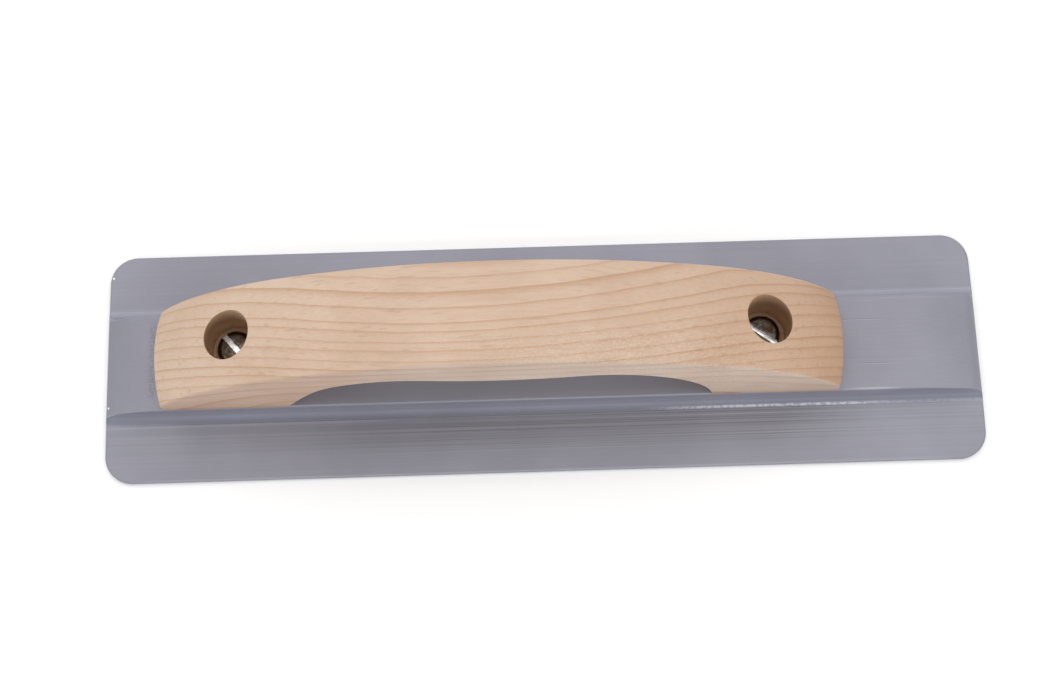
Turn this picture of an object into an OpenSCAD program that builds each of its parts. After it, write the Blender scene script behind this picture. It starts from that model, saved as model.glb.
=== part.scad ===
// Hand float: an extruded magnesium blade with a rib along its middle, a wooden handle that
// stands on the rib, and two slotted screws let down into bores in the handle.
// The origin is the centre of the working face, +X runs along the blade and +Z is up.

/* [Blade] */
// Length of the blade from end to end
blade_l = 304.8; // [250:0.1:500]
// Width of the blade from side to side
blade_w = 81; // [66:0.5:120]
// Radius of the blade's corners, seen from above
corner_r = 9.5; // [2:0.5:14]
// Thickness of the flange at its outer edge
edge_t = 2; // [1.2:0.1:4]
// Thickness of the flange where it meets the rib
root_t = 2.5; // [1.5:0.1:5]

/* [Rib] */
// Height of the rib's flat top above the working face
rib_h = 10; // [9:0.5:16]
// Width of the rib's top
rib_w = 34; // [24:0.5:44]
// Radius of the fillet between the rib's wall and the flange
rib_fillet = 3.4; // [1:0.1:5]
// Radius of the rounded edge along the rib's top
rib_edge_r = 0.8; // [0.3:0.1:1.5]
// Length of the ground slope at the rib's left end
left_slope_l = 20; // [10:1:40]
// Height that the left slope drops by the blade's end
left_slope_drop = 7.2; // [4:0.1:7.5]
// Length of the ground slope at the rib's right end
right_slope_l = 28; // [10:1:40]
// Height that the right slope drops by the blade's end
right_slope_drop = 5; // [3:0.1:7.5]

/* [Handle] */
// Length of the handle
handle_l = 233.4; // [210:0.1:260]
// Width of the handle
handle_w = 34; // [26:0.5:44]
// Distance from the blade's left end to the handle's left end
handle_inset = 20.3; // [5:0.1:40]
// Height of the handle's side ridge above the rib, at the middle
ridge_h = 53; // [46:0.5:70]
// Radius of the long arc along the ridge
ridge_r = 200; // [160:5:300]
// Half the length of the long arc, measured along X
ridge_half = 70; // [50:1:80]
// Radius of the arc that turns the ridge down to each end
shoulder_r = 100; // [90:5:140]
// Height of the crowned top above the side ridges
crown_h = 7.5; // [3:0.5:12]

/* [Grip opening] */
// Clear height under the palm swell, above the rib
palm_h = 30; // [20:0.5:36]
// Radius of the palm swell on the underside
palm_r = 120; // [80:5:200]
// Radius of the arcs at each end of the opening
finger_r = 40; // [30:1:44]
// Distance between the centres of the two end arcs
finger_span = 66; // [50:1:76]

/* [Screws] */
// Distance between the two screws
screw_pitch = 175.6; // [160:0.2:190]
// How far both screws stand off the centre line, across the blade
screw_y = -0.8; // [-1.5:0.1:1.5]
// Diameter of the bores that the screw heads go down
bore_d = 15.9; // [13.5:0.1:18]
// Thickness of wood left under each screw head
seat_h = 16; // [12:0.5:20]
// Diameter of the screw thread
screw_d = 6.35; // [5:0.05:8]
// Length of each screw under its head
screw_l = 22.2; // [20:0.1:23.5]
// Diameter of the screw head
head_d = 12.4; // [10:0.1:13]
// Height of the screw head
head_h = 3.6; // [2.5:0.1:5]
// Width of the driver slot
slot_w = 1.8; // [1:0.1:2.5]
// Depth of the driver slot
slot_depth = 1.9; // [1:0.1:2.2]
// Direction of the left screw's slot, in degrees
left_slot_turn = -49; // [-90:1:90]
// Direction of the right screw's slot, in degrees
right_slot_turn = -37; // [-90:1:90]

/* [Clearances] */
// Gap around each screw where it passes through the wood
wood_gap = 0.35; // [0.1:0.05:1]
// Gap that stands for the thread's fit in the rib, all round
thread_gap = 0.05; // [0.02:0.01:0.2]
// Depth of each tapped hole past the screw's tip
tip_gap = 1; // [0.5:0.1:1.5]

/* [Hidden] */
$fn = 96;
// steps in each arc that is drawn as points
ARC_STEPS = 12;
// how far a cutting shape runs past the piece it cuts
PAST = 5;

foot_w = rib_w + 2 * rib_fillet;
handle_x = -blade_l / 2 + handle_inset + handle_l / 2;
screw_x = [handle_x - screw_pitch / 2, handle_x + screw_pitch / 2];
seat_z = rib_h + seat_h;

// the opening: the palm swell's arc meets each end arc without a kink
swell_turn = asin(finger_span / 2 / (palm_r + finger_r));
finger_z = palm_h + palm_r - (palm_r + finger_r) * cos(swell_turn);
finger_down = asin(-finger_z / finger_r);

// points along an arc; skip leaves out that many at each end, where a neighbour has them
function arc(centre, r, from, to, skip = 0) =
    [for (i = [skip : ARC_STEPS - skip])
        let (a = from + (to - from) * i / ARC_STEPS)
        centre + r * [cos(a), sin(a)]];

function mirrored(points) = [for (p = points) [-p.x, p.y]];

function reversed(points) = [for (i = [len(points) - 1 : -1 : 0]) points[i]];

// the ridge: one long arc about main_c, carried on by a shoulder arc about side_c to each end
turn = asin(ridge_half / ridge_r);
main_c = [0, ridge_h - ridge_r];
side_c = main_c + (ridge_r - shoulder_r) * [sin(turn), cos(turn)];
end_turn = acos((handle_l / 2 - side_c.x) / shoulder_r);
shoulder = arc(side_c, shoulder_r, end_turn, 90 - turn);
ridge = concat(
    mirrored(shoulder),
    arc(main_c, ridge_r, 90 + turn, 90 - turn, 1),
    reversed(shoulder));

// the crown across the handle, as heights above the side ridges
crown_r = (handle_w * handle_w / 4 + crown_h * crown_h) / (2 * crown_h);
crown_half = asin(handle_w / 2 / crown_r);
crown = arc([0, crown_h - crown_r], crown_r, 90 - crown_half, 90 + crown_half);

// right half of the blade's section, from the outer edge up to the rib's top
half_section = concat(
    [[blade_w / 2, 0], [blade_w / 2, edge_t]],
    arc([foot_w / 2, root_t + rib_fillet], rib_fillet, 270, 180),
    arc([rib_w / 2 - rib_edge_r, rib_h - rib_edge_r], rib_edge_r, 0, 90));

// an arc that leaves the rib's top level and drops by the given height at the blade's end
function slope_r(length, drop) = (length * length + drop * drop) / (2 * drop);

function slope(length, drop) =
    let (r = slope_r(length, drop))
    arc([blade_l / 2 - length, rib_h - r], r, 90, 90 - asin(length / r));

module blade() {
    color([0.56, 0.56, 0.6])
    difference() {
        intersection() {
            rotate([90, 0, 90])
                linear_extrude(blade_l, center = true)
                    polygon(concat(half_section, reversed(mirrored(half_section))));
            linear_extrude(rib_h + PAST)
                blade_outline();
            rotate([90, 0, 0])
                linear_extrude(blade_w + 2 * PAST, center = true)
                    rib_side();
        }
        for (x = screw_x)
            translate([x, screw_y, seat_z - screw_l - tip_gap])
                cylinder(d = screw_d + 2 * thread_gap, h = seat_z);
    }
}

module blade_outline() {
    c = [blade_l / 2 - corner_r, blade_w / 2 - corner_r];
    right = concat(
        arc([c.x, -c.y], corner_r, -90, 0),
        arc(c, corner_r, 0, 90));
    polygon(concat(right, reversed(mirrored(right))));
}

// the rib seen from the side, with the ground slope at each end
module rib_side() {
    end = blade_l / 2 + PAST;
    polygon(concat(
        [[-end, -PAST], [end, -PAST], [end, rib_h - right_slope_drop]],
        reversed(slope(right_slope_l, right_slope_drop)),
        mirrored(slope(left_slope_l, left_slope_drop)),
        [[-end, rib_h - left_slope_drop]]));
}

module handle() {
    color([0.86, 0.72, 0.57])
    translate([handle_x, 0, rib_h])
    difference() {
        handle_stock();
        rotate([90, 0, 0])
            linear_extrude(handle_w + 2 * PAST, center = true)
                grip_opening();
        for (x = screw_x)
            translate([x - handle_x, screw_y, 0]) {
                translate([0, 0, seat_h])
                    cylinder(d = bore_d, h = ridge_h + crown_h);
                translate([0, 0, -PAST])
                    cylinder(d = screw_d + 2 * wood_gap, h = seat_h + 2 * PAST);
            }
    }
}

// the stock: the crowned section carried along the ridge, with its ends cut square
module handle_stock() {
    sides = len(crown) + 2;
    last = len(ridge) - 1;
    points = [for (r = ridge)
        each concat(
            [[r.x, handle_w / 2, 0]],
            [for (c = crown) [r.x, c.x, r.y + c.y]],
            [[r.x, -handle_w / 2, 0]])];
    walls = [for (i = [0 : last - 1], j = [0 : sides - 1])
        let (k = (j + 1) % sides)
        [i * sides + j, i * sides + k, (i + 1) * sides + k, (i + 1) * sides + j]];
    start = [for (j = [sides - 1 : -1 : 0]) j];
    end = [for (j = [0 : sides - 1]) last * sides + j];
    polyhedron(points, concat(walls, [start, end]), convexity = 4);
}

module grip_opening() {
    half = concat(
        [[-finger_span / 2 - finger_r, -PAST]],
        arc([-finger_span / 2, finger_z], finger_r, 180 - finger_down, 90 - swell_turn));
    swell = arc([0, palm_h + palm_r], palm_r, 270 - swell_turn, 270 + swell_turn);
    polygon(concat(half, swell, reversed(mirrored(half))));
}

module screw(x, slot_turn) {
    head_r = head_d / 2;
    edge_r = head_h * 0.45;
    tip = screw_d * 0.12;
    color([0.7, 0.7, 0.68])
    translate([x, screw_y, seat_z])
    difference() {
        rotate_extrude()
            polygon(concat(
                [[0, -screw_l], [screw_d / 2 - tip, -screw_l], [screw_d / 2, tip - screw_l],
                 [screw_d / 2, 0], [head_r, 0]],
                arc([head_r - edge_r, head_h - edge_r], edge_r, 0, 90),
                [[0, head_h]]));
        rotate([0, 0, slot_turn])
            translate([-head_d, -slot_w / 2, head_h - slot_depth])
                cube([2 * head_d, slot_w, head_h]);
    }
}

module screw_left() {
    screw(screw_x[0], left_slot_turn);
}

module screw_right() {
    screw(screw_x[1], right_slot_turn);
}

blade();
handle();
screw_left();
screw_right();
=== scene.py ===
import math

import bmesh
import bpy
import numpy as np
from mathutils import Matrix, Vector


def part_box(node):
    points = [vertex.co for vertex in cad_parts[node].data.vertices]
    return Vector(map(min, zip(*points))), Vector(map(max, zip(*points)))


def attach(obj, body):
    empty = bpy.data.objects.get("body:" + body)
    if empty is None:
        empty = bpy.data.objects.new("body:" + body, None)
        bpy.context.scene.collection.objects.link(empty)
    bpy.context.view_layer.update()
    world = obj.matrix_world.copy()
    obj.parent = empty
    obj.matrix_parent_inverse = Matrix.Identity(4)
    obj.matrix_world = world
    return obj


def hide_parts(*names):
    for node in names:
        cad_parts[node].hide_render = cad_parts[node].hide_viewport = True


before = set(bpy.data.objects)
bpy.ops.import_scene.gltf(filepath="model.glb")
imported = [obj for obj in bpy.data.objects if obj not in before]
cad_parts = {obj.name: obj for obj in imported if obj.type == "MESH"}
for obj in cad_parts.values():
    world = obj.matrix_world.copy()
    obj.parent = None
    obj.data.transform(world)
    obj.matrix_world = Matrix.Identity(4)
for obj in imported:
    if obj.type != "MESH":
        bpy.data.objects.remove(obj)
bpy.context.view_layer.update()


# ---------------------------------------------------------------------------------------------
# Blade: one extruded magnesium bar with a raised rib along its middle, sawn to length.
# Its corners are rounded off, the rib is ground down in a slope at each end, and two blind
# holes in the rib take the handle's screws.
# ---------------------------------------------------------------------------------------------

blade_low, blade_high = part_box("blade")
left_low, left_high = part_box("screw_left")
right_low, right_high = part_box("screw_right")

BLADE_L = blade_high.x - blade_low.x
BLADE_W = blade_high.y - blade_low.y
RIB_H = blade_high.z
CORNER_R = 0.0095
EDGE_T = 0.0020                 # flange at its outer edge
ROOT_T = 0.0025                 # flange beside the rib
RIB_W = 0.0340
RIB_FILLET = 0.0034
RIB_EDGE = 0.0007               # rounding along the rib's top edges
GROUND_EDGE = 0.0003            # the same edge where the slope has been ground across it
GROUND_DROP = 0.0010            # how far the slope has dropped where that edge is fully ground
BEAD_H = 0.00006                # raised line that the die leaves at the fillet's foot
BEAD_W = 0.0009
TOP_EDGE = 0.0005               # rounding of the outline, above
BOTTOM_EDGE = 0.0004            # and below
LEFT_SLOPE = (0.020, 0.0072)    # length and drop of the ground slope
RIGHT_SLOPE = (0.028, 0.0050)
RIGHT_TIP = (0.0040, 0.0024)    # length and drop of the last bit, rolled over by the grinder
THREAD_R = 0.003225
THREAD_RIM = 0.0004             # chamfer at the mouth of each tapped hole
THREAD_FLOOR = left_low.z - 0.001    # the holes go 1 mm deeper than the screws
SCREW_X = [(left_low.x + left_high.x) / 2, (right_low.x + right_high.x) / 2]
SCREW_Y = (left_low.y + left_high.y) / 2


def stations(*parts):
    """Places along a line: each part is (start, end, cells), cut evenly, and joined ends count once."""
    runs = [np.linspace(start, end, cells + 1)[1:] for start, end, cells in parts]
    return np.concatenate([[parts[0][0]]] + runs)


def steps(cells):
    """The far end of each cell of a stretch, as a fraction of the stretch, in one row."""
    return np.linspace(0, 1, cells + 1)[None, 1:]


def slope_drop(offset, length, drop):
    """Drop of an arc that leaves the level at `length` from the end, and reaches `drop` at the end."""
    radius = (length**2 + drop**2) / (2 * drop)
    run = np.clip(length - offset, 0, length)
    return radius - np.sqrt(radius**2 - run**2)


def round_drop(depth, radius):
    """Quarter circle: how far a rounded edge has dropped at a depth inside the outline."""
    rest = np.clip(radius - depth, 0, radius)
    return radius - np.sqrt(radius**2 - rest**2)


def outline_depth(x, y):
    """Distance inside the blade's outline, a rectangle with round corners."""
    qx = np.abs(x) - (BLADE_L / 2 - CORNER_R)
    qy = np.abs(y) - (BLADE_W / 2 - CORNER_R)
    outside = np.hypot(np.maximum(qx, 0), np.maximum(qy, 0))
    return CORNER_R - outside - np.minimum(np.maximum(qx, qy), 0)


def rib_top(x):
    """Height of the rib's top: level, then an arc down to each end, and a short roll at the right tip."""
    left = slope_drop(BLADE_L / 2 + x, *LEFT_SLOPE)
    right = slope_drop(BLADE_L / 2 - x, *RIGHT_SLOPE)
    tip = slope_drop(BLADE_L / 2 - x, *RIGHT_TIP)
    return RIB_H - left - right - tip


def wall_y(z):
    """Where the rib's wall stands at a height: plumb above the fillet, and on its arc below."""
    below = np.clip(ROOT_T + RIB_FILLET - z, 0, RIB_FILLET)
    return RIB_W / 2 + RIB_FILLET - np.sqrt(RIB_FILLET**2 - below**2)


def round_the_block(grid, rows, columns):
    """The points round a block of a grid, in order, as one closed ring without its last point."""
    (r0, r1), (c0, c1) = rows, columns
    step = 1 if c1 > c0 else -1
    across = np.arange(c0, c1, step)
    return np.concatenate([
        grid[r0:r1, c0],
        grid[r1, across],
        grid[r1:r0:-1, c1],
        grid[r0, across + step][::-1]])


def screw_ring(x, radius, z, angles):
    """A ring about a screw's upright axis; z is one height or one for each angle."""
    return np.stack([
        x + radius * np.cos(angles),
        SCREW_Y + radius * np.sin(angles),
        z + 0 * angles], axis=-1)


def closed_sheet(rings):
    """Rings of points as a sheet whose last column meets its first."""
    grid = np.stack(rings)
    return np.concatenate([grid, grid[:, :1]], axis=1), None


WELD = 2e-6    # points closer than this are joined


def build_piece(name, sheets, sharp_degrees):
    """One closed mesh from sheets of points, smooth but for edges sharper than an angle.
    A sheet is a grid of points, rows by columns, and a mask of the cells that it keeps. Each kept
    cell becomes a face, and points that fall together are welded, which closes seams and poles."""
    points, faces, first = [], [], 0
    for grid, keep in sheets:
        rows, columns = grid.shape[:2]
        index = first + np.arange(rows * columns).reshape(rows, columns)
        cells = np.stack([index[:-1, :-1], index[1:, :-1], index[1:, 1:], index[:-1, 1:]], axis=-1)
        faces.append(cells[keep] if keep is not None else cells.reshape(-1, 4))
        points.append(grid.reshape(-1, 3))
        first += rows * columns
    mesh = bpy.data.meshes.new(name)
    mesh.from_pydata(np.concatenate(points), [], np.concatenate(faces).tolist())
    work = bmesh.new()
    work.from_mesh(mesh)
    bmesh.ops.remove_doubles(work, verts=work.verts, dist=WELD)
    bmesh.ops.recalc_face_normals(work, faces=work.faces)
    work.to_mesh(mesh)
    work.free()
    mesh.polygons.foreach_set("use_smooth", np.ones(len(mesh.polygons), dtype=bool))
    mesh.set_sharp_from_angle(angle=math.radians(sharp_degrees))
    piece = bpy.data.objects.new(name, mesh)
    bpy.context.scene.collection.objects.link(piece)
    return piece


HOLE_HALF = 0.006    # half the side of the square of cells that each blind hole sits in
HOLE_CELLS = 8
RIM = 0.0008         # strip along the outline with its own fine cells
FLAT_CELLS = 5       # on the rib's top, from that square to the rounded edge
EDGE_CELLS = 5
WALL_CELLS = 16
BEAD_CELLS = 6
FLANGE_CELLS = 7
RIM_CELLS = 8
WALL_CROWD = 1.7     # power that crowds the wall's cells towards its foot
RIM_CROWD = 1.6      # and the strip's cells towards the outline
# offsets from an end that crowd towards it, in step with the round corner
corner_offsets = CORNER_R * (1 - np.cos(np.radians(np.arange(0, 91, 5))))
middle_x = stations(
    (-BLADE_L / 2 + CORNER_R, -BLADE_L / 2 + LEFT_SLOPE[0], 8),
    (-BLADE_L / 2 + LEFT_SLOPE[0], SCREW_X[0] - HOLE_HALF, 5),
    (SCREW_X[0] - HOLE_HALF, SCREW_X[0] + HOLE_HALF, HOLE_CELLS),
    (SCREW_X[0] + HOLE_HALF, SCREW_X[1] - HOLE_HALF, 24),
    (SCREW_X[1] - HOLE_HALF, SCREW_X[1] + HOLE_HALF, HOLE_CELLS),
    (SCREW_X[1] + HOLE_HALF, BLADE_L / 2 - RIGHT_SLOPE[0], 9),
    (BLADE_L / 2 - RIGHT_SLOPE[0], BLADE_L / 2 - CORNER_R, 15))
blade_x = np.concatenate([
    -BLADE_L / 2 + corner_offsets[:-1], middle_x, (BLADE_L / 2 - corner_offsets[:-1])[::-1]])


def blade_half(x):
    """Half of the section at each x, as columns from the middle of the rib's top out to the edge.
    The columns run over the flat, round the rib's edge, down its wall and fillet, over a small
    bead at its foot, and out along the flange, whose last strip drops round the outline's edge
    by its depth inside the outline."""
    x = x[:, None]
    corner = np.clip(np.abs(x) - (BLADE_L / 2 - CORNER_R), 0, CORNER_R)
    half_w = BLADE_W / 2 - CORNER_R + np.sqrt(CORNER_R**2 - corner**2)
    top = rib_top(x)
    ground = np.clip((RIB_H - top) / GROUND_DROP, 0, 1)
    edge = np.minimum(RIB_EDGE + (GROUND_EDGE - RIB_EDGE) * ground, 0.5 * (top - ROOT_T))
    wall = wall_y(top - edge)
    flat = np.concatenate([
        0 * x,
        HOLE_HALF * steps(HOLE_CELLS // 2) + 0 * x,
        HOLE_HALF + (wall - edge - HOLE_HALF) * steps(FLAT_CELLS)], axis=1)
    bend = np.radians(90 * steps(EDGE_CELLS))
    fall = (1 - steps(WALL_CELLS))**WALL_CROWD
    wall_z = ROOT_T + (top - edge - ROOT_T) * fall
    foot = RIB_W / 2 + RIB_FILLET
    bead = foot + BEAD_W * steps(BEAD_CELLS) + 0 * x
    flange = foot + BEAD_W + (half_w - RIM - foot - BEAD_W) * steps(FLANGE_CELLS)
    rim = half_w - RIM * (1 - steps(RIM_CELLS))**RIM_CROWD
    out = np.concatenate([bead, flange, rim], axis=1)
    out_z = ROOT_T + (EDGE_T - ROOT_T) * (out - foot) / (BLADE_W / 2 - foot)
    swell = np.clip((out - foot) / BEAD_W, 0, 1)
    out_z = out_z + BEAD_H * 0.5 * (1 - np.cos(2 * math.pi * swell))
    y = np.concatenate([flat, wall - edge + edge * np.sin(bend), wall_y(wall_z), out], axis=1)
    z = np.concatenate([top + 0 * flat, top - edge + edge * np.cos(bend), wall_z, out_z], axis=1)
    z = z - round_drop(outline_depth(x, y), TOP_EDGE)
    inner = (half_w - RIM) * np.linspace(0, 1, y.shape[1] - rim.shape[1])[None, :]
    under = np.concatenate([inner, rim], axis=1)
    under_z = round_drop(outline_depth(x, under), BOTTOM_EDGE)
    across = x + 0 * y
    return np.stack([across, y, z], axis=-1), np.stack([across, under, under_z], axis=-1)


def both_sides(half, first_side):
    """The columns of a half section with their mirror image, running from -Y to +Y or back."""
    other = half * np.array([1, -1, 1])
    if first_side < 0:
        return np.concatenate([other[:, :0:-1], half], axis=1)
    return np.concatenate([half[:, :0:-1], other], axis=1)


def blade_sheets():
    """The section carried along the blade as a closed tube, a cap at each end, and two blind holes."""
    top, under = blade_half(blade_x)
    tube = np.concatenate([both_sides(top, -1), both_sides(under, 1)], axis=1)
    tube = np.concatenate([tube, tube[:, :1]], axis=1)
    keep = np.ones((tube.shape[0] - 1, tube.shape[1] - 1), dtype=bool)
    upper = both_sides(top, -1)
    lower = both_sides(under, -1)
    sheets = [(np.stack([upper[row], lower[row]]), None) for row in (0, -1)]
    middle = upper.shape[1] // 2
    columns = (middle - HOLE_CELLS // 2, middle + HOLE_CELLS // 2)
    for x in SCREW_X:
        row = int(np.argmin(np.abs(blade_x - (x - HOLE_HALF))))
        rows = (row, row + HOLE_CELLS)
        keep[rows[0]:rows[1], columns[0]:columns[1]] = False
        ring = round_the_block(upper, rows, columns)
        angles = np.arctan2(ring[:, 1] - SCREW_Y, ring[:, 0] - x)
        sheets.append(closed_sheet([
            ring,
            screw_ring(x, THREAD_R + THREAD_RIM, RIB_H, angles),
            screw_ring(x, THREAD_R, RIB_H - THREAD_RIM, angles),
            screw_ring(x, THREAD_R, THREAD_FLOOR, angles),
            screw_ring(x, 0, THREAD_FLOOR, angles)]))
    return sheets + [(tube, keep)]


def node(tree, kind, inputs=(), **settings):
    """Adds a shader node. Settings are its properties; inputs are (socket, value or output) pairs."""
    made = tree.nodes.new(kind)
    for key, value in settings.items():
        setattr(made, key, value)
    for key, value in inputs:
        if isinstance(value, bpy.types.NodeSocket):
            tree.links.new(value, made.inputs[key])
        else:
            made.inputs[key].default_value = value
    return made


def maths(tree, operation, a, b=0.0, c=0.0):
    """The output of one Math node."""
    return node(tree, "ShaderNodeMath", [(0, a), (1, b), (2, c)], operation=operation).outputs[0]


def remap(tree, value, low, high, to_low=0.0, to_high=1.0):
    """A value eased from one range to another, and held at its ends."""
    pairs = [("Value", value), ("From Min", low), ("From Max", high)]
    pairs += [("To Min", to_low), ("To Max", to_high)]
    return node(tree, "ShaderNodeMapRange", pairs, interpolation_type="SMOOTHSTEP").outputs[0]


def within(tree, value, rise, fall, low=0.0):
    """A value that eases up from `low` to 1 over the range `rise` and back down over `fall`."""
    return maths(tree, "MULTIPLY", remap(tree, value, *rise, low, 1.0),
                 remap(tree, value, *fall, 1.0, low))


def coordinates(tree, vector):
    """The X, Y and Z of a vector."""
    return tuple(node(tree, "ShaderNodeSeparateXYZ", [(0, vector)]).outputs)


def flat_length(tree, vector, keep):
    """Length of a vector's kept parts: `keep` has a 1 for each one that counts, and 0 for the rest."""
    flat = node(tree, "ShaderNodeVectorMath", [(0, vector), (1, keep)], operation="MULTIPLY")
    length = node(tree, "ShaderNodeVectorMath", [(0, flat.outputs[0])], operation="LENGTH")
    return length.outputs["Value"]


def blend(tree, factor, a, b, how="MIX"):
    """The colour output of one Mix node. With MULTIPLY, b is a wash over a."""
    mix = node(tree, "ShaderNodeMix", data_type="RGBA", blend_type=how)
    for socket, value in ((0, factor), (6, a), (7, b)):
        if isinstance(value, bpy.types.NodeSocket):
            tree.links.new(value, mix.inputs[socket])
        else:
            mix.inputs[socket].default_value = value
    return mix.outputs[2]


def place(tree, vector, location=(0, 0, 0), turn=(0, 0, 0), scale=(1, 1, 1)):
    """A vector moved, turned and scaled by a Mapping node."""
    pairs = [("Vector", vector), ("Location", location), ("Rotation", turn), ("Scale", scale)]
    return node(tree, "ShaderNodeMapping", pairs).outputs[0]


def new_group(name, inputs, outputs):
    """An empty shader node group with named sockets: its tree, its inputs and its output node."""
    tree = bpy.data.node_groups.new(name, "ShaderNodeTree")
    for label, kind in inputs:
        tree.interface.new_socket(label, in_out="INPUT", socket_type=kind)
    for label, kind in outputs:
        tree.interface.new_socket(label, in_out="OUTPUT", socket_type=kind)
    return tree, node(tree, "NodeGroupInput").outputs, node(tree, "NodeGroupOutput")


def use_group(tree, group, **inputs):
    """Places a node group and returns its outputs; input names have _ for a space."""
    made = node(tree, "ShaderNodeGroup", node_tree=group)
    for key, value in inputs.items():
        socket = made.inputs[key.replace("_", " ")]
        if isinstance(value, bpy.types.NodeSocket):
            tree.links.new(value, socket)
        else:
            socket.default_value = value
    return made.outputs


def new_material(name, **constants):
    """A material with one Principled shader, whose plain values are set on its own sockets."""
    material = bpy.data.materials.new(name)
    material.use_nodes = True
    tree = material.node_tree
    tree.nodes.clear()
    shader = node(tree, "ShaderNodeBsdfPrincipled")
    for key, value in constants.items():
        shader.inputs[key.replace("_", " ")].default_value = value
    tree.links.new(shader.outputs[0], node(tree, "ShaderNodeOutputMaterial").inputs[0])
    return material, tree, shader, node(tree, "ShaderNodeTexCoord").outputs["Object"]


FLOAT, VECTOR = "NodeSocketFloat", "NodeSocketVector"


def make_lengthwise_lines():
    """Fine lines that run along X: noise stretched by Along against Across, in lines per metre.
    Fine is all of it, Bold only the few strongest lines."""
    tree, given, result = new_group(
        "lengthwise_lines",
        [("Vector", VECTOR), ("Along", FLOAT), ("Across", FLOAT), ("Bold Share", FLOAT)],
        [("Fine", FLOAT), ("Bold", FLOAT)])
    scale = node(tree, "ShaderNodeCombineXYZ", [
        (0, given["Along"]), (1, given["Across"]), (2, given["Across"])])
    spread = node(tree, "ShaderNodeVectorMath", [(0, given["Vector"]), (1, scale.outputs[0])],
                  operation="MULTIPLY")
    noise = node(tree, "ShaderNodeTexNoise", [
        ("Vector", spread.outputs[0]), ("Scale", 1.0), ("Detail", 3.0), ("Roughness", 0.6)])
    tree.links.new(noise.outputs[0], result.inputs["Fine"])
    wide = node(tree, "ShaderNodeTexNoise", [
        ("Vector", spread.outputs[0]), ("Scale", 0.31), ("Detail", 1.0), ("Roughness", 0.4)])
    start = maths(tree, "SUBTRACT", 1.0, given["Bold Share"])
    bold = remap(tree, wide.outputs[0], start, maths(tree, "ADD", start, 0.1))
    tree.links.new(bold, result.inputs["Bold"])
    return tree


def make_blotches():
    """Soft uneven patches, from 0 to 1, Size across, in metres."""
    tree, given, result = new_group(
        "blotches", [("Vector", VECTOR), ("Size", FLOAT)], [("Value", FLOAT)])
    scale = maths(tree, "DIVIDE", 1.0, given["Size"])
    noise = node(tree, "ShaderNodeTexNoise", [
        ("Vector", given["Vector"]), ("Scale", scale), ("Detail", 4.0), ("Roughness", 0.55)])
    value = remap(tree, noise.outputs[0], 0.3, 0.7)
    tree.links.new(value, result.inputs["Value"])
    return tree


def make_thin_line():
    """A thin line along X at a Y: 1 on it and 0 beside it, fading over Fade at each end."""
    tree, given, result = new_group(
        "thin_line",
        [("Vector", VECTOR), ("Y", FLOAT), ("Width", FLOAT), ("Start", FLOAT), ("End", FLOAT),
         ("Fade", FLOAT)],
        [("Mask", FLOAT)])
    x, y, _ = coordinates(tree, given["Vector"])
    away = maths(tree, "ABSOLUTE", maths(tree, "SUBTRACT", y, given["Y"]))
    across = remap(tree, away, 0.0, given["Width"], 1.0, 0.0)
    fade_in = (given["Start"], maths(tree, "ADD", given["Start"], given["Fade"]))
    fade_out = (maths(tree, "SUBTRACT", given["End"], given["Fade"]), given["End"])
    mask = maths(tree, "MULTIPLY", across, within(tree, x, fade_in, fade_out))
    tree.links.new(mask, result.inputs["Mask"])
    return tree


lengthwise_lines = make_lengthwise_lines()
blotches = make_blotches()
thin_line = make_thin_line()

MAGNESIUM = (0.277, 0.275, 0.318, 1)
MAGNESIUM_DARK = (0.242, 0.240, 0.278, 1)
MAGNESIUM_BRIGHT = (0.52, 0.52, 0.57, 1)
MAGNESIUM_SHADE = (0.150, 0.149, 0.172, 1)
HANDLE_SHADE_WASH = (0.90, 0.91, 0.88, 1)    # painted shade: the band of the near flange beside the rib, where the handle's shadow and reflection fall
# painted shade and painted highlights in bands along the rib: from and to, across, and the wash
PAINTED_LIGHT_BANDS = [
    (-0.0203, -0.0174, (0.79, 0.81, 0.86, 1)),    # painted shade on the near fillet, which faces the darker front
    (-0.0173, -0.0168, (1.20, 1.22, 1.28, 1)),    # painted highlight on the near wall above it
    (0.0166, 0.0206, (1.14, 1.14, 1.15, 1))]      # painted highlight on the far edge and fillet, which face the light behind
GLINT_LINE_Y = -0.0199    # painted highlight: a bright glint line low on the near fillet, which is also less rough
GLINT_LINE_W = 0.00085
# rub marks on the rib's top beside the handle's ends: distance from the middle, start and end
RUB_MARKS = [
    (0.0079, 0.1010, 0.1195), (-0.0079, 0.1060, 0.1215), (0.0150, 0.1060, 0.1180),
    (0.0137, -0.1380, -0.1320), (0.0085, -0.1385, -0.1320), (-0.0073, -0.1385, -0.1320)]
RUB_W = 0.00016
# painted highlights along edges and the fillets' feet: distance from the middle, width, start, end and
# strength
EDGE_HIGHLIGHTS = [
    (-0.0166, 0.0007, 0.1005, 0.1260, 0.45), (-0.0401, 0.0005, -0.1450, 0.1450, 0.16),
    (-0.0213, 0.0006, -0.1600, -0.0500, 0.15), (0.0206, 0.0009, -0.1600, 0.1600, 0.12),
    (0.0156, 0.0004, 0.1020, 0.1480, 0.10)]
END_SHADE_X = -0.1352      # painted shade: a dark band across the rib, against the handle's left end
END_SHADE_W = 0.0022
NICKS = [(-0.1513, 0.0330), (-0.1514, -0.0143)]    # two bright nicks in the left edge
NICK_BRIGHT = (0.85, 0.85, 0.85, 1)


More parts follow.
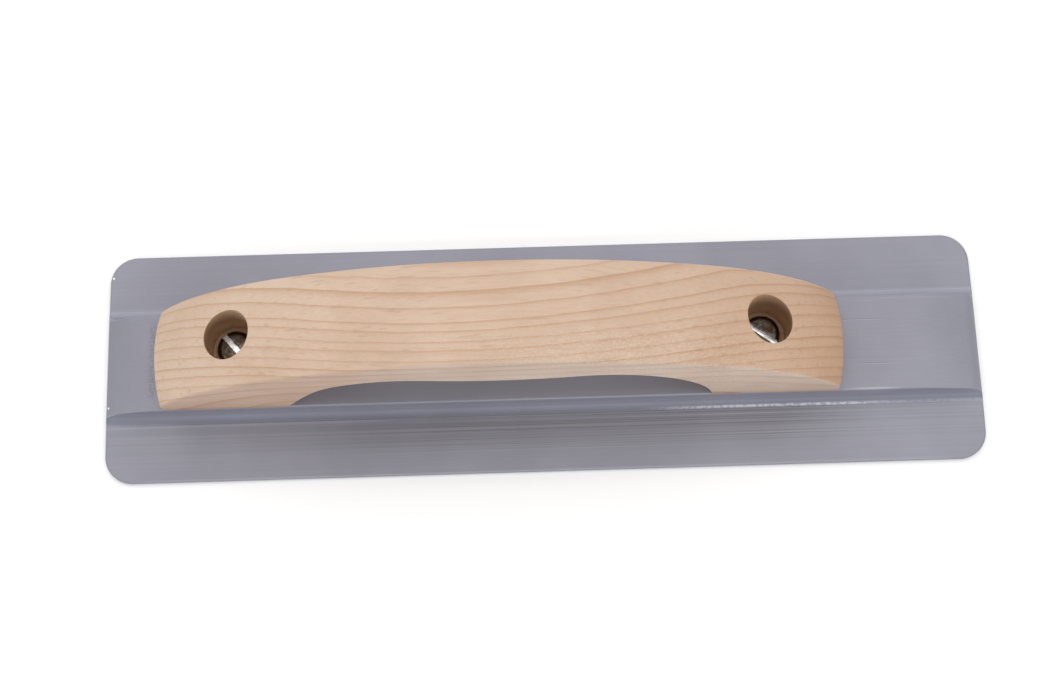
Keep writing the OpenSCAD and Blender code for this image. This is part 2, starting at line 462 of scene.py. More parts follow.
def magnesium():
    """Satin magnesium: die lines along the extrusion, crisper beside the rib, and soft blotches.
    Over them lie painted shade on the near flange and fillet, painted highlights on the near wall,
    the far edge and fillet and along the edges, a painted glint line low on the near fillet, rub
    marks by the handle's ends, a painted shade band against the handle's left end, and two nicks."""
    material, tree, shader, place_in_object = new_material("drawn_magnesium", Metallic=0.65)
    lines = use_group(tree, lengthwise_lines, Vector=place_in_object, Along=7.0, Across=1500.0,
                      Bold_Share=0.33)
    crisp = use_group(tree, lengthwise_lines, Vector=place_in_object, Along=3.0, Across=2600.0,
                      Bold_Share=0.42)
    patch = use_group(tree, blotches, Vector=place_in_object, Size=0.045)["Value"]
    x, y, _ = coordinates(tree, place_in_object)
    tone = maths(tree, "MULTIPLY_ADD", lines["Fine"], 0.5, maths(tree, "MULTIPLY", patch, 0.5))
    colour = blend(tree, tone, MAGNESIUM_DARK, MAGNESIUM)
    # the crisp lines lie on the near flange, from the rib half way to the edge
    beside = maths(tree, "MULTIPLY",
                   within(tree, y, (-0.036, -0.028), (-0.0215, -0.0205)),
                   within(tree, x, (-0.10, -0.02), (0.07, 0.12), low=0.2))
    light = maths(tree, "MULTIPLY", remap(tree, crisp["Fine"], 0.50, 0.68),
                  maths(tree, "MULTIPLY_ADD", beside, 0.34, 0.02))
    dark = maths(tree, "MULTIPLY", remap(tree, crisp["Fine"], 0.50, 0.32),
                 maths(tree, "MULTIPLY_ADD", beside, 0.60, 0.03))
    colour = blend(tree, light, colour, MAGNESIUM_BRIGHT)
    colour = blend(tree, dark, colour, MAGNESIUM_SHADE)
    # painted shade: the handle's shadow and reflection darken this band of the near flange
    colour = blend(tree, beside, colour, HANDLE_SHADE_WASH, "MULTIPLY")
    # painted shade and painted highlights along the rib's walls and fillets
    for start, end, wash in PAINTED_LIGHT_BANDS:
        band = within(tree, y, (start - 0.0001, start + 0.0003), (end - 0.0003, end + 0.0001))
        colour = blend(tree, band, colour, wash, "MULTIPLY")
    speckle = use_group(tree, blotches, Vector=place_in_object, Size=0.0011)["Value"]
    # painted highlight: the glint line is strong beside the handle's right half, and broken up by the
    # speckle
    glint_line = use_group(tree, thin_line, Vector=place_in_object, Y=GLINT_LINE_Y, Width=GLINT_LINE_W,
                        Start=-0.16, End=0.16, Fade=0.01)["Mask"]
    strong = maths(tree, "MULTIPLY", remap(tree, x, 0.030, 0.060, 0.02, 0.85),
                   remap(tree, x, 0.095, 0.13, 1.0, 0.25))
    broken = maths(tree, "MULTIPLY", strong, remap(tree, speckle, 0.30, 0.50, 0.45, 1.0))
    glint_line = maths(tree, "MULTIPLY", glint_line, broken)
    colour = blend(tree, glint_line, colour, MAGNESIUM_BRIGHT)
    # each rub mark is a bright scratch with a darker one beside it
    for away, start, end in RUB_MARKS:
        rub = use_group(tree, thin_line, Vector=place_in_object, Y=away, Width=RUB_W,
                        Start=start, End=end, Fade=0.004)["Mask"]
        colour = blend(tree, maths(tree, "MULTIPLY", rub, 0.3), colour, MAGNESIUM_BRIGHT)
        beside_rub = use_group(tree, thin_line, Vector=place_in_object, Y=away + 2 * RUB_W,
                               Width=RUB_W, Start=start, End=end, Fade=0.004)["Mask"]
        colour = blend(tree, maths(tree, "MULTIPLY", beside_rub, 0.7), colour, MAGNESIUM_SHADE)
    # painted highlights where the edges and the fillets' feet catch the light
    for away, width, start, end, strength in EDGE_HIGHLIGHTS:
        edge_highlight = use_group(tree, thin_line, Vector=place_in_object, Y=away, Width=width,
                             Start=start, End=end, Fade=0.012)["Mask"]
        colour = blend(tree, maths(tree, "MULTIPLY", edge_highlight, strength), colour, MAGNESIUM_BRIGHT)
    # the painted shade band lies across the rib, so its line is drawn on the pattern turned by 90 degrees
    turned = place(tree, place_in_object, turn=(0, 0, math.pi / 2))
    end_shade = use_group(tree, thin_line, Vector=turned, Y=END_SHADE_X, Width=END_SHADE_W,
                      Start=-0.015, End=0.014, Fade=0.003)["Mask"]
    end_shade = maths(tree, "MULTIPLY", end_shade, remap(tree, speckle, 0.35, 0.65, 0.1, 0.45))
    colour = blend(tree, end_shade, colour, MAGNESIUM_SHADE)
    for nick_x, nick_y in NICKS:
        from_nick = place(tree, place_in_object, location=(-nick_x, -nick_y, 0))
        away = flat_length(tree, from_nick, (1, 1, 0))
        colour = blend(tree, remap(tree, away, 0.0002, 0.0005, 1.0, 0.0), colour, NICK_BRIGHT)
    tree.links.new(colour, shader.inputs["Base Color"])
    roughness = maths(tree, "MULTIPLY_ADD", tone, -0.08, 0.64)
    roughness = maths(tree, "MULTIPLY_ADD", glint_line, -0.25, roughness)
    tree.links.new(roughness, shader.inputs["Roughness"])
    height = maths(tree, "MULTIPLY_ADD", crisp["Fine"], beside, lines["Fine"])
    bump = node(tree, "ShaderNodeBump", [
        ("Strength", 0.35), ("Distance", 0.00004), ("Height", height)])
    tree.links.new(bump.outputs[0], shader.inputs["Normal"])
    return material


blade = build_piece("blade_float", blade_sheets(), 32)
blade.data.materials.append(magnesium())
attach(blade, "root")
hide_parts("blade")


# ---------------------------------------------------------------------------------------------
# Handle: one length of bare softwood, bandsawn to an arch with an opening for the fingers,
# crowned on top and sanded. It stands on the rib, and each foot has a hole for a screw with
# a wide bore above it, so that the screw's head sits deep in the wood.
# ---------------------------------------------------------------------------------------------

handle_low, handle_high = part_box("handle")

HANDLE_X = (handle_low.x + handle_high.x) / 2
HANDLE_HALF_L = (handle_high.x - handle_low.x) / 2
HANDLE_HALF_W = (handle_high.y - handle_low.y) / 2
CROWN_H = 0.0075
RIDGE_TOP = handle_high.z - RIB_H - CROWN_H
RIDGE_R = 0.200        # the long arc of the side ridge
RIDGE_HALF = 0.070     # half the length that it runs for, before the shoulder arcs take over
SHOULDER_R = 0.100
PALM_H = 0.030         # lowest point of the swell in the opening, above the rib
PALM_R = 0.120
FINGER_R = 0.040
FINGER_SPAN = 0.066    # between the centres of the two finger arcs
FULL_TOE = 0.0018      # how much fuller the left finger arc was left by the shaper
FULL_TOE_H = 0.025     # height that the fuller stretch goes up to
SOFT_RIDGE = 0.0025    # rounding between the crown and the side
END_EDGE = 0.0008      # rounding of the sawn ends
END_BOW = 0.0007       # how far the sanded ends fall back at their corners, seen from above
BOW_REACH = 0.012      # length of handle that the bow takes in
TOE_EDGE = 0.0008      # rounding of the foot's corner in the opening
FOOT_LIP = 0.0004      # rounding of the side's lower edge, on the feet
GRIP_LIP = 0.0006      # and in the opening, where it is sanded for the fingers
LIP_RISE = 0.012       # height over which the one lip grows into the other
CAP_H = 0.004          # height above the rib of the middle point of each end
BORE_R = 0.00795
BORE_RIM = 0.0002
CLEAR_R = 0.003525
HEAD_H = 0.0036
SEAT = left_high.z - HEAD_H - RIB_H
SCREW_U = (SCREW_X[1] - SCREW_X[0]) / 2

crown_r = (HANDLE_HALF_W**2 + CROWN_H**2) / (2 * CROWN_H)


def crown(y):
    """Height of the crowned top above the side ridges: an arc across the handle."""
    return CROWN_H - crown_r + np.sqrt(crown_r**2 - y**2)


def ridge(u):
    """Height of the side ridge above the rib: one long arc, carried on by a smaller arc that
    leaves it without a kink and turns down to each end."""
    a = np.abs(u)
    turn = math.asin(RIDGE_HALF / RIDGE_R)
    side_u = (RIDGE_R - SHOULDER_R) * math.sin(turn)
    side_z = RIDGE_TOP - RIDGE_R + (RIDGE_R - SHOULDER_R) * math.cos(turn)
    long_arc = RIDGE_TOP - RIDGE_R + np.sqrt(RIDGE_R**2 - np.minimum(a, RIDGE_HALF)**2)
    shoulder = side_z + np.sqrt(SHOULDER_R**2 - (np.maximum(a, RIDGE_HALF) - side_u)**2)
    return np.where(a <= RIDGE_HALF, long_arc, shoulder)


def arc(centre, radius, start, end, cells):
    """Points along an arc, between two angles in radians."""
    a = np.linspace(start, end, cells + 1)
    return np.stack([centre[0] + radius * np.cos(a), centre[1] + radius * np.sin(a)], axis=-1)


BLOCK_HALF = 0.011    # half the side of the square of cells that each bore sits in
BLOCK_CELLS = 16
UNDER_HALF = 0.007    # half its width on the underside
CROWN_CELLS = 5       # beside that square, on each side of the crown
END_CELLS = 5
FOOT_CELLS = 14       # from the rounded end to the first bore's square
ARC_CELLS = 26
SWELL_CELLS = 10
TOE_CELLS = 4
ROUND_CELLS = 6       # round the soft ridge, and round the lip
SIDE_CELLS = 12
UNDER_CELLS = 5       # on the underside, from the lip to that square
TOE_CROWD = 1.7       # power that crowds the ridge's rows towards the toe below

swell_turn = math.asin(FINGER_SPAN / 2 / (PALM_R + FINGER_R))
finger_z = PALM_H + PALM_R - (PALM_R + FINGER_R) * math.cos(swell_turn)
finger_down = math.asin(-finger_z / FINGER_R)
toe_u = -FINGER_SPAN / 2 - FINGER_R * math.cos(finger_down)
end_offsets = END_EDGE * (1 - np.cos(np.linspace(0, math.pi / 2, END_CELLS + 1)))
foot_u = np.concatenate([-HANDLE_HALF_L + end_offsets[:-1], stations(
    (-HANDLE_HALF_L + END_EDGE, -SCREW_U - BLOCK_HALF, FOOT_CELLS),
    (-SCREW_U - BLOCK_HALF, -SCREW_U + BLOCK_HALF, BLOCK_CELLS),
    (-SCREW_U + BLOCK_HALF, toe_u - TOE_EDGE, 3))])
block_row = END_CELLS + FOOT_CELLS


def under_path():
    """The underside seen from the side: flat foot, rounded toe, finger arc, palm swell, and the
    same again mirrored. Then half a sine wave, up the height of the left finger arc, pushes it
    into the opening. The second value is where each row meets the ridge above."""
    foot = np.stack([foot_u, 0 * foot_u], axis=-1)
    bend = TOE_EDGE / FINGER_R
    finger = arc((-FINGER_SPAN / 2, finger_z), FINGER_R, math.pi - finger_down - bend,
                 math.pi / 2 - swell_turn, ARC_CELLS)
    t = np.linspace(0, 1, TOE_CELLS + 1)[:, None]
    corner = np.array([toe_u, 0])
    toe = (1 - t)**2 * foot[-1] + 2 * t * (1 - t) * corner + t**2 * finger[0]
    swell = arc((0, PALM_H + PALM_R), PALM_R, 1.5 * math.pi - swell_turn, 1.5 * math.pi,
                SWELL_CELLS)
    half = np.concatenate([foot, toe[1:], finger[1:], swell[1:]])
    spread = steps(TOE_CELLS + ARC_CELLS)[0]**TOE_CROWD
    above = np.concatenate([
        foot_u,
        foot_u[-1] + (swell[0, 0] - foot_u[-1]) * spread,
        np.linspace(swell[0, 0], 0, SWELL_CELLS + 1)[1:]])
    whole = np.concatenate([half, half[-2::-1] * np.array([-1, 1])])
    rise = np.clip(whole[:, 1] / FULL_TOE_H, 0, 1)
    whole[:, 0] += np.where(whole[:, 0] < 0, FULL_TOE * np.sin(math.pi * rise), 0)
    return whole, np.concatenate([above, -above[-2::-1]])


def handle_rows():
    """A section carried along the handle. Each row runs over the crown, round the soft ridge,
    down the side to the underside's path, round its lip and across below. Rows near an end are
    drawn in by a quarter circle and bowed back towards their corners by a parabola. The second
    value is the column where the middle of the underside begins."""
    under, above = under_path()
    tangent = np.gradient(under, axis=0)
    tangent /= np.linalg.norm(tangent, axis=1, keepdims=True)
    into_u, into_z = -tangent[:, 1:], tangent[:, :1]
    under_u, under_z = under[:, :1], under[:, 1:]
    above = above[:, None]
    top_z = ridge(above)
    inside = np.clip(under_z / LIP_RISE, 0, 1)
    lip = FOOT_LIP + (GRIP_LIP - FOOT_LIP) * inside**2 * (3 - 2 * inside)
    block_turn = math.asin(BLOCK_HALF / crown_r)
    blend_y = HANDLE_HALF_W - SOFT_RIDGE
    blend_turn = math.asin(blend_y / (crown_r - SOFT_RIDGE))
    blend_z = CROWN_H - crown_r + (crown_r - SOFT_RIDGE) * math.cos(blend_turn)
    turns = stations(
        (-blend_turn, -block_turn, CROWN_CELLS),
        (-block_turn, block_turn, BLOCK_CELLS),
        (block_turn, blend_turn, CROWN_CELLS))[None, :]
    over_y = crown_r * np.sin(turns) + 0 * above
    over_z = top_z + CROWN_H - crown_r + crown_r * np.cos(turns)
    a = blend_turn + (math.pi / 2 - blend_turn) * steps(ROUND_CELLS)
    soft_y = blend_y + SOFT_RIDGE * np.sin(a) + 0 * above
    soft_z = top_z + blend_z + SOFT_RIDGE * np.cos(a)
    f = steps(SIDE_CELLS)
    side_u = above + (under_u + into_u * lip - above) * f
    side_z = (top_z + blend_z) * (1 - f) + (under_z + into_z * lip) * f
    side_y = HANDLE_HALF_W + 0 * side_u
    b = math.pi / 2 * steps(ROUND_CELLS)
    lip_y = HANDLE_HALF_W - lip * (1 - np.cos(b))
    lip_u = under_u + into_u * lip * (1 - np.sin(b))
    lip_z = under_z + into_z * lip * (1 - np.sin(b))
    f = steps(UNDER_CELLS)
    low_y = lip_y[:, -1:] * (1 - f) + UNDER_HALF * f
    half_u = np.concatenate([above + 0 * soft_y, side_u, lip_u, under_u + 0 * low_y], axis=1)
    half_y = np.concatenate([soft_y, side_y, lip_y, low_y], axis=1)
    half_z = np.concatenate([soft_z, side_z, lip_z, under_z + 0 * low_y], axis=1)
    belly_y = np.linspace(UNDER_HALF, -UNDER_HALF, BLOCK_CELLS + 1)[None, 1:-1] + 0 * above
    u = np.concatenate([above + 0 * over_y, half_u, under_u + 0 * belly_y, half_u[:, ::-1]], axis=1)
    y = np.concatenate([over_y, half_y, belly_y, -half_y[:, ::-1]], axis=1)
    z = np.concatenate([over_z, half_z, under_z + 0 * belly_y, half_z[:, ::-1]], axis=1)
    # the ends: each section near one is drawn in all round, and its corners are bowed back
    inset = round_drop(HANDLE_HALF_L - np.abs(above), END_EDGE)
    middle_z = 0.45 * top_z
    y = y * (1 - inset / HANDLE_HALF_W)
    z = z - inset * np.clip((z - middle_z) / middle_z, -0.5, 1)
    near_end = np.clip(1 - (HANDLE_HALF_L - np.abs(above)) / BOW_REACH, 0, 1)
    u = u - np.sign(above) * END_BOW * near_end * (y / HANDLE_HALF_W)**2
    return np.stack([HANDLE_X + u, y, RIB_H + z], axis=-1), over_y.shape[1] + half_y.shape[1] - 1


def handle_sheets():
    """The rows as a closed tube, a cap at each end, and two bores let into square blocks of it."""
    grid, belly_end = handle_rows()
    tube = np.concatenate([grid, grid[:, :1]], axis=1)
    keep = np.ones((tube.shape[0] - 1, tube.shape[1] - 1), dtype=bool)
    sheets = []
    for row in (0, -1):
        loop = grid[row]
        centre = np.array([loop[0, 0], 0, RIB_H + CAP_H])
        sheets.append(closed_sheet([loop, (loop + centre) / 2, centre + 0 * loop]))
    top_columns = (CROWN_CELLS, CROWN_CELLS + BLOCK_CELLS)
    belly_columns = (belly_end + BLOCK_CELLS, belly_end)
    last = grid.shape[0] - 1
    for screw_u, start in ((-SCREW_U, block_row), (SCREW_U, last - block_row - BLOCK_CELLS)):
        rows = (start, start + BLOCK_CELLS)
        keep[rows[0]:rows[1], top_columns[0]:top_columns[1]] = False
        keep[rows[0]:rows[1], belly_columns[1]:belly_columns[0]] = False
        mouth = round_the_block(grid, rows, top_columns)
        sole = round_the_block(grid, rows, belly_columns)
        sheets.append(bore_sheet(HANDLE_X + screw_u, screw_u, mouth, sole))
    return sheets + [(tube, keep)]


def bore_sheet(x, screw_u, mouth, sole):
    """Rings from the block's edge on the crown to the bore's mouth, round its rim, down the wall,
    in across the seat, down the screw's hole and out to the block's edge on the underside. On the
    crown, each ring's height is the ridge's plus the crown's at its own points."""
    angles = np.arctan2(mouth[:, 1] - SCREW_Y, mouth[:, 0] - x)

    def on_top(radius, sink=0.0):
        height = ridge(screw_u + radius * np.cos(angles)) + crown(SCREW_Y + radius * np.sin(angles))
        return screw_ring(x, radius, RIB_H + height - sink, angles)

    outer = on_top(BORE_R + BORE_RIM)
    rings = [mouth]
    for f in (0.35, 0.7):
        plan = mouth * (1 - f) + outer * f
        plan[:, 2] = RIB_H + ridge(plan[:, 0] - HANDLE_X) + crown(plan[:, 1])
        rings.append(plan)
    for a in np.linspace(0, math.pi / 2, 5):
        rings.append(on_top(BORE_R + BORE_RIM * (1 - math.sin(a)), BORE_RIM * (1 - math.cos(a))))
    seat_ring = screw_ring(x, BORE_R, RIB_H + SEAT, angles)
    rings += [rings[-1] * (1 - f) + seat_ring * f for f in np.linspace(0, 1, 9)[1:]]
    rings.append(screw_ring(x, (BORE_R + CLEAR_R) / 2, RIB_H + SEAT, angles))
    rings += [screw_ring(x, CLEAR_R, RIB_H + SEAT * f, angles) for f in np.linspace(1, 0, 5)]
    return closed_sheet(rings + [sole])


def make_growth_rings():
    """Growth rings about the X axis. Line rises slowly through each ring's late wood and stops
    short at its edge; Tone is a steady random value for each ring."""
    tree, given, result = new_group(
        "growth_rings",
        [("Vector", VECTOR), ("Pitch", FLOAT), ("Wander", FLOAT)],
        [("Line", FLOAT), ("Tone", FLOAT)])
    radius = flat_length(tree, given["Vector"], (0, 1, 1))
    slow = place(tree, given["Vector"], scale=(6, 20, 20))
    slow = node(tree, "ShaderNodeTexNoise", [("Vector", slow), ("Scale", 1.0), ("Detail", 1.0)])
    quick = place(tree, given["Vector"], scale=(45, 220, 220))
    quick = node(tree, "ShaderNodeTexNoise", [("Vector", quick), ("Scale", 1.0), ("Detail", 2.0)])
    shift = maths(tree, "SUBTRACT", slow.outputs[0], 0.5)
    fine = maths(tree, "MULTIPLY", maths(tree, "SUBTRACT", quick.outputs[0], 0.5), 0.12)
    shift = maths(tree, "MULTIPLY", maths(tree, "ADD", shift, fine), given["Wander"])
    count = maths(tree, "DIVIDE", maths(tree, "ADD", radius, shift), given["Pitch"])
    uneven = node(tree, "ShaderNodeTexNoise", [("W", count), ("Scale", 0.8), ("Detail", 0.0)],
                  noise_dimensions="1D")
    count = maths(tree, "MULTIPLY_ADD", uneven.outputs[0], 0.5, count)
    through = maths(tree, "FRACT", count)
    rise = maths(tree, "POWER", through, 5.5)
    stop = remap(tree, through, 0.955, 1.0, 1.0, 0.0)
    tree.links.new(maths(tree, "MULTIPLY", rise, stop), result.inputs["Line"])
    ring = node(tree, "ShaderNodeTexWhiteNoise", [("W", maths(tree, "FLOOR", count))],
                noise_dimensions="1D")
    tree.links.new(ring.outputs["Value"], result.inputs["Tone"])
    return tree


growth_rings = make_growth_rings()

EARLY_WOOD = (0.545, 0.405, 0.305, 1)
EARLY_PINK = (0.497, 0.350, 0.252, 1)
LATE_WOOD = (0.375, 0.195, 0.092, 1)
PORE = (0.330, 0.210, 0.130, 1)
BORE_WALL = (0.380, 0.240, 0.140, 1)
BORE_DEEP_PAINTED_LIGHT = (0.780, 0.530, 0.330, 1)      # painted light: the deep wall and the seat are bright, since little light gets down there
BORE_SEAT_PAINTED_LIGHT = (0.600, 0.400, 0.250, 1)
SIDE_SHADE = (0.90, 0.97, 1.08, 1)         # painted shade: the flat sides, lit less than the crown, are greyer
LEFT_SIDE_SHADE = (0.84, 0.82, 0.86, 1)
FOOT_WASH = (0.93, 0.80, 0.64, 1)         # a thin warm line along the foot's base
RIGHT_WASH = (0.82, 0.71, 0.61, 1)        # the wood is warmer and darker towards the right end
NO_WASH = (1.0, 1.0, 1.0, 1)
RING_PITCH = 0.0033
RING_WANDER = 0.006
RING_AXIS = (0.0, 0.082, -0.0075)    # moves the tree's heart, out past the near side, to the origin
RING_TILT = -0.0235
RING_CURL = 0.0055                   # how far the rings curl towards -Y at the handle's ends


def softwood():
    """Bare sanded softwood: growth rings about a heart outside the piece, fibres and short pores
    along X, torn fibres on part of the crown, browner walls in the bores, where the drill has
    rubbed, with painted light deep down and on the seat, painted shade on the sides, and washes
    over the feet and the right end."""
    material, tree, shader, place_in_object = new_material("bare_softwood", IOR=1.45)
    x, y, z = coordinates(tree, place_in_object)
    from_middle = maths(tree, "ABSOLUTE", maths(tree, "SUBTRACT", x, HANDLE_X))
    curl = remap(tree, from_middle, 0.068, 0.128, 0.0, RING_CURL)
    curled = node(tree, "ShaderNodeCombineXYZ", [
        (0, x), (1, maths(tree, "ADD", y, curl)), (2, z)]).outputs[0]
    heart = place(tree, curled, location=RING_AXIS, turn=(0, 0, RING_TILT))
    rings = use_group(tree, growth_rings, Vector=heart, Pitch=RING_PITCH, Wander=RING_WANDER)
    fibres = use_group(tree, lengthwise_lines, Vector=place_in_object, Along=28.0, Across=1500.0,
                       Bold_Share=0.36)
    pores = use_group(tree, lengthwise_lines, Vector=place_in_object, Along=260.0, Across=2600.0,
                      Bold_Share=0.36)
    patch = use_group(tree, blotches, Vector=place_in_object, Size=0.03)["Value"]
    colour = blend(tree, patch, EARLY_WOOD, EARLY_PINK)
    strength = maths(tree, "MULTIPLY_ADD", rings["Tone"], 0.5, 0.5)
    late = maths(tree, "MULTIPLY", rings["Line"], strength)
    colour = blend(tree, late, colour, LATE_WOOD)
    # torn fibres stand up on the near half of the crown, right of the middle
    torn = within(tree, x, (-0.045, 0.02), (0.055, 0.085))
    torn = maths(tree, "MULTIPLY", torn, remap(tree, y, -0.004, -0.011))
    torn = maths(tree, "MULTIPLY_ADD", torn, 0.85, 0.15)
    tufts = node(tree, "ShaderNodeTexNoise", [
        ("Vector", place(tree, place_in_object, scale=(1100, 1700, 1700))), ("Scale", 1.0),
        ("Detail", 2.0)]).outputs[0]
    fuzz = maths(tree, "MULTIPLY", remap(tree, tufts, 0.4, 0.72), torn)
    colour = blend(tree, maths(tree, "MULTIPLY", fuzz, 0.28), colour, EARLY_WOOD, "SCREEN")
    shade = remap(tree, fibres["Fine"], 0.25, 0.75, 0.94, 1.04)
    shade_colour = node(tree, "ShaderNodeCombineXYZ", [(0, shade), (1, shade), (2, shade)])
    colour = blend(tree, 1.0, colour, shade_colour.outputs[0], "MULTIPLY")
    colour = blend(tree, maths(tree, "MULTIPLY", pores["Bold"], 0.3), colour, PORE)
    # distance from the nearer bore's axis
    from_bore = node(tree, "ShaderNodeCombineXYZ", [
        (0, maths(tree, "SUBTRACT", from_middle, SCREW_U)), (1, maths(tree, "SUBTRACT", y, SCREW_Y))])
    around = flat_length(tree, from_bore.outputs[0], (1, 1, 0))
    inside = remap(tree, around, BORE_R, BORE_R + BORE_RIM, 1.0, 0.0)
    # painted light: the bore's wall is lightened deep down and on the seat, where the bore shades it
    deep = remap(tree, z, left_high.z, left_high.z + 0.009, 1.0, 0.0)
    seat = remap(tree, z, left_high.z - HEAD_H, left_high.z - HEAD_H + 0.0008, 1.0, 0.0)
    wall = blend(tree, seat, blend(tree, deep, BORE_WALL, BORE_DEEP_PAINTED_LIGHT), BORE_SEAT_PAINTED_LIGHT)
    wall = blend(tree, maths(tree, "MULTIPLY", late, 0.5), wall, LATE_WOOD)
    colour = blend(tree, maths(tree, "MULTIPLY", inside, 0.85), colour, wall)
    side = remap(tree, maths(tree, "ABSOLUTE", y), HANDLE_HALF_W - 0.0008, HANDLE_HALF_W - 0.0001)
    # painted shade on the flat sides, deeper on their left part, away from the light
    side_shade = blend(tree, remap(tree, x, -0.08, -0.04), LEFT_SIDE_SHADE, SIDE_SHADE)
    colour = blend(tree, side, colour, side_shade, "MULTIPLY")
    base = remap(tree, z, RIB_H + 0.0012, RIB_H + 0.0035, 1.0, 0.0)
    colour = blend(tree, base, colour, FOOT_WASH, "MULTIPLY")
    # the right end's wash leaves the sides as they are and hardly reaches into the bores
    right_wash = blend(tree, remap(tree, x, 0.0, 0.12), NO_WASH, RIGHT_WASH)
    washed = maths(tree, "MULTIPLY", maths(tree, "SUBTRACT", 1.0, side),
                   maths(tree, "MULTIPLY_ADD", inside, -0.8, 1.0))
    colour = blend(tree, washed, colour, right_wash, "MULTIPLY")
    tree.links.new(colour, shader.inputs["Base Color"])
    roughness = maths(tree, "MULTIPLY_ADD", fibres["Fine"], 0.15, 0.58)
    tree.links.new(roughness, shader.inputs["Roughness"])
    height = maths(tree, "MULTIPLY_ADD", late, 0.6, fibres["Fine"])
    height = maths(tree, "MULTIPLY_ADD", fuzz, 2.5, height)
    height = maths(tree, "MULTIPLY_ADD", pores["Bold"], -0.5, height)
    bump = node(tree, "ShaderNodeBump", [
        ("Strength", 0.5), ("Distance", 0.00006), ("Height", height)])
    tree.links.new(bump.outputs[0], shader.inputs["Normal"])
    return material


handle = build_piece("grip_handle", handle_sheets(), 34)
handle.data.materials.append(softwood())
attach(handle, "root")
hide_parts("handle")


# ---------------------------------------------------------------------------------------------
# Screws: two slotted pan head machine screws in bright zinc plate. Each goes down its bore,
# through the foot, and into the tapped hole in the rib.
# ---------------------------------------------------------------------------------------------

ZINC = (0.80, 0.80, 0.80, 1)
ZINC_DULL = (0.50, 0.49, 0.47, 1)
HEAD_REFLECTION = (0.050, 0.031, 0.017, 1)
SLOT_DEPTH = 0.0019


def zinc_plate():
    """Bright zinc plate with dull patches and a fine grain. Outside its slot the head is painted
    dark brown, a painted reflection of the wood round it in the bore; the slot's floor keeps the bright
    zinc."""
    material, tree, shader, place_in_object = new_material("zinc_plate", Metallic=1.0)
    patch = use_group(tree, blotches, Vector=place_in_object, Size=0.0022)["Value"]
    grain = use_group(tree, blotches, Vector=place_in_object, Size=0.0004)["Value"]
    colour = blend(tree, maths(tree, "MULTIPLY", patch, 0.6), ZINC, ZINC_DULL)
    _, _, z = coordinates(tree, place_in_object)
    slot_floor = left_high.z - SLOT_DEPTH
    head = remap(tree, z, slot_floor + 0.0002, slot_floor + 0.0005)
    # painted reflection: the head above the slot's floor takes the dark brown of the bore's wood, which
    # it mirrors
    head_reflection = maths(tree, "MULTIPLY", head, maths(tree, "MULTIPLY_ADD", patch, 0.08, 0.92))
    colour = blend(tree, head_reflection, colour, HEAD_REFLECTION)
    tree.links.new(colour, shader.inputs["Base Color"])
    tree.links.new(maths(tree, "MULTIPLY_ADD", patch, 0.2, 0.2), shader.inputs["Roughness"])
    bump = node(tree, "ShaderNodeBump", [
        ("Strength", 0.3), ("Distance", 0.00002), ("Height", grain)])
    tree.links.new(bump.outputs[0], shader.inputs["Normal"])
    return material


zinc = zinc_plate()
for name in ("screw_left", "screw_right"):
    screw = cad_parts[name]
    screw.data.materials.clear()
    screw.data.materials.append(zinc)


# ---------------------------------------------------------------------------------------------
# Stage: a plain pale floor, a white surround with soft lamps above, behind, in front and at
# the left, and the camera, which looks down steeply from the near side.
# ---------------------------------------------------------------------------------------------

FLOOR_HALF = 4.0
FLOOR_Z = -0.0002       # just clear of the working face
FLOOR_WHITE = (0.88, 0.88, 0.88, 1)
FLOOR_GREY = (0.86, 0.86, 0.86, 1)
SURROUND = (1.0, 1.0, 1.0, 1)
SURROUND_STRENGTH = 0.86


def pale_floor():
    """Plain matt white, with a very faint unevenness."""
    material, tree, shader, place_in_object = new_material("pale_floor", Roughness=0.9)
    patch = use_group(tree, blotches, Vector=place_in_object, Size=0.8)["Value"]
    colour = blend(tree, patch, FLOOR_GREY, FLOOR_WHITE)
    tree.links.new(colour, shader.inputs["Base Color"])
    return material


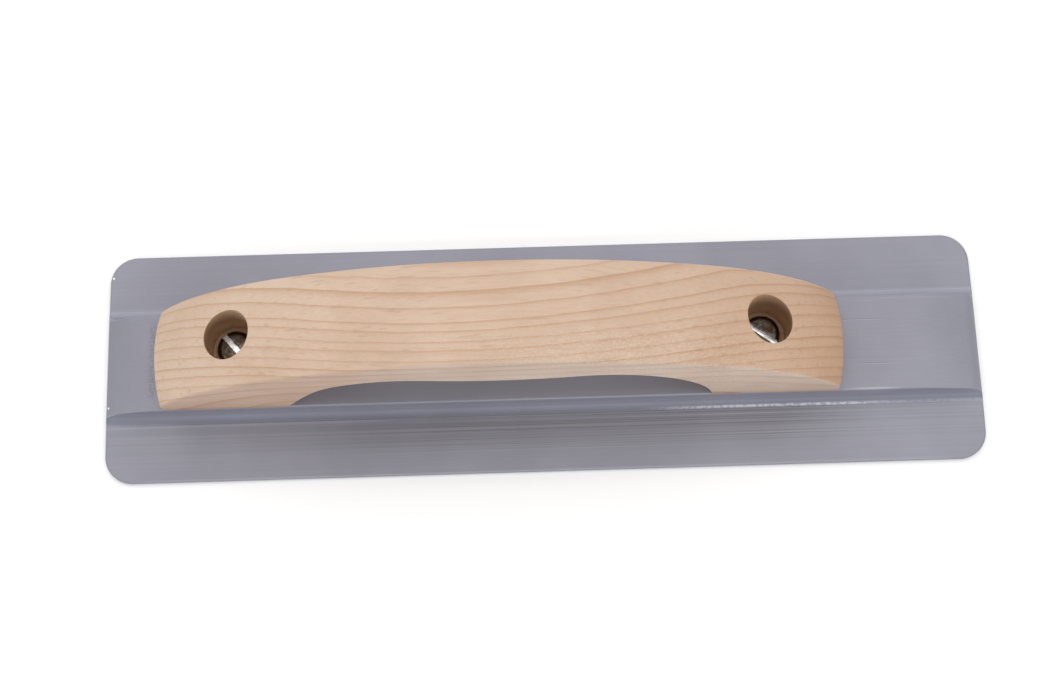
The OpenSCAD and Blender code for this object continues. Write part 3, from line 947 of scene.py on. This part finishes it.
floor_mesh = bpy.data.meshes.new("floor")
corners = np.array([[-1, -1], [1, -1], [1, 1], [-1, 1]]) * FLOOR_HALF
floor_mesh.from_pydata([(x, y, FLOOR_Z) for x, y in corners], [], [(0, 1, 2, 3)])
floor = bpy.data.objects.new("floor", floor_mesh)
bpy.context.scene.collection.objects.link(floor)
floor.data.materials.append(pale_floor())

world = bpy.data.worlds.new("studio")
world.use_nodes = True
surround = world.node_tree.nodes["Background"]
surround.inputs["Color"].default_value = SURROUND
surround.inputs["Strength"].default_value = SURROUND_STRENGTH
bpy.context.scene.world = world
bpy.context.scene.view_settings.view_transform = "Standard"


def soft_light(name, place_at, width, depth, power):
    """A rectangular area light that points from its place to the object."""
    lamp = bpy.data.lights.new(name, "AREA")
    lamp.shape = "RECTANGLE"
    lamp.size = width
    lamp.size_y = depth
    lamp.energy = power
    light = bpy.data.objects.new(name, lamp)
    light.location = place_at
    light.rotation_euler = (-Vector(place_at)).to_track_quat("-Z", "Y").to_euler()
    bpy.context.scene.collection.objects.link(light)


# name, place, width and depth in metres, and power in watts
soft_light("overhead", (0.15, 0.30, 1.3), 2.4, 1.2, 9)
soft_light("back", (-0.1, 1.3, 0.8), 2.0, 0.7, 3)
soft_light("front", (0.0, -1.3, 0.5), 1.6, 0.5, 5)
soft_light("left", (-1.2, 0.1, 0.7), 1.0, 0.6, 1.2)

AIM = Vector((-0.0067, 0.0031, 0))    # the point that the camera looks at
DISTANCE = 0.5619
ELEVATION = math.radians(75.93)
YAW = math.radians(-2.81)
ROLL = math.radians(1.03)
SENSOR = 36.0           # millimetres, as the lens is
LENS = 54.75

back = Vector((
    math.sin(YAW) * math.cos(ELEVATION), -math.cos(YAW) * math.cos(ELEVATION), math.sin(ELEVATION)))
level = Vector((math.cos(YAW), math.sin(YAW), 0))
upright = back.cross(level)
right = level * math.cos(ROLL) + upright * math.sin(ROLL)
up = upright * math.cos(ROLL) - level * math.sin(ROLL)
camera_data = bpy.data.cameras.new("camera")
camera_data.sensor_width = SENSOR
camera_data.lens = LENS
camera = bpy.data.objects.new("camera", camera_data)
camera.matrix_world = Matrix.Translation(AIM + back * DISTANCE) @ Matrix(
    (right, up, back)).transposed().to_4x4()
bpy.context.scene.collection.objects.link(camera)
bpy.context.scene.camera = camera
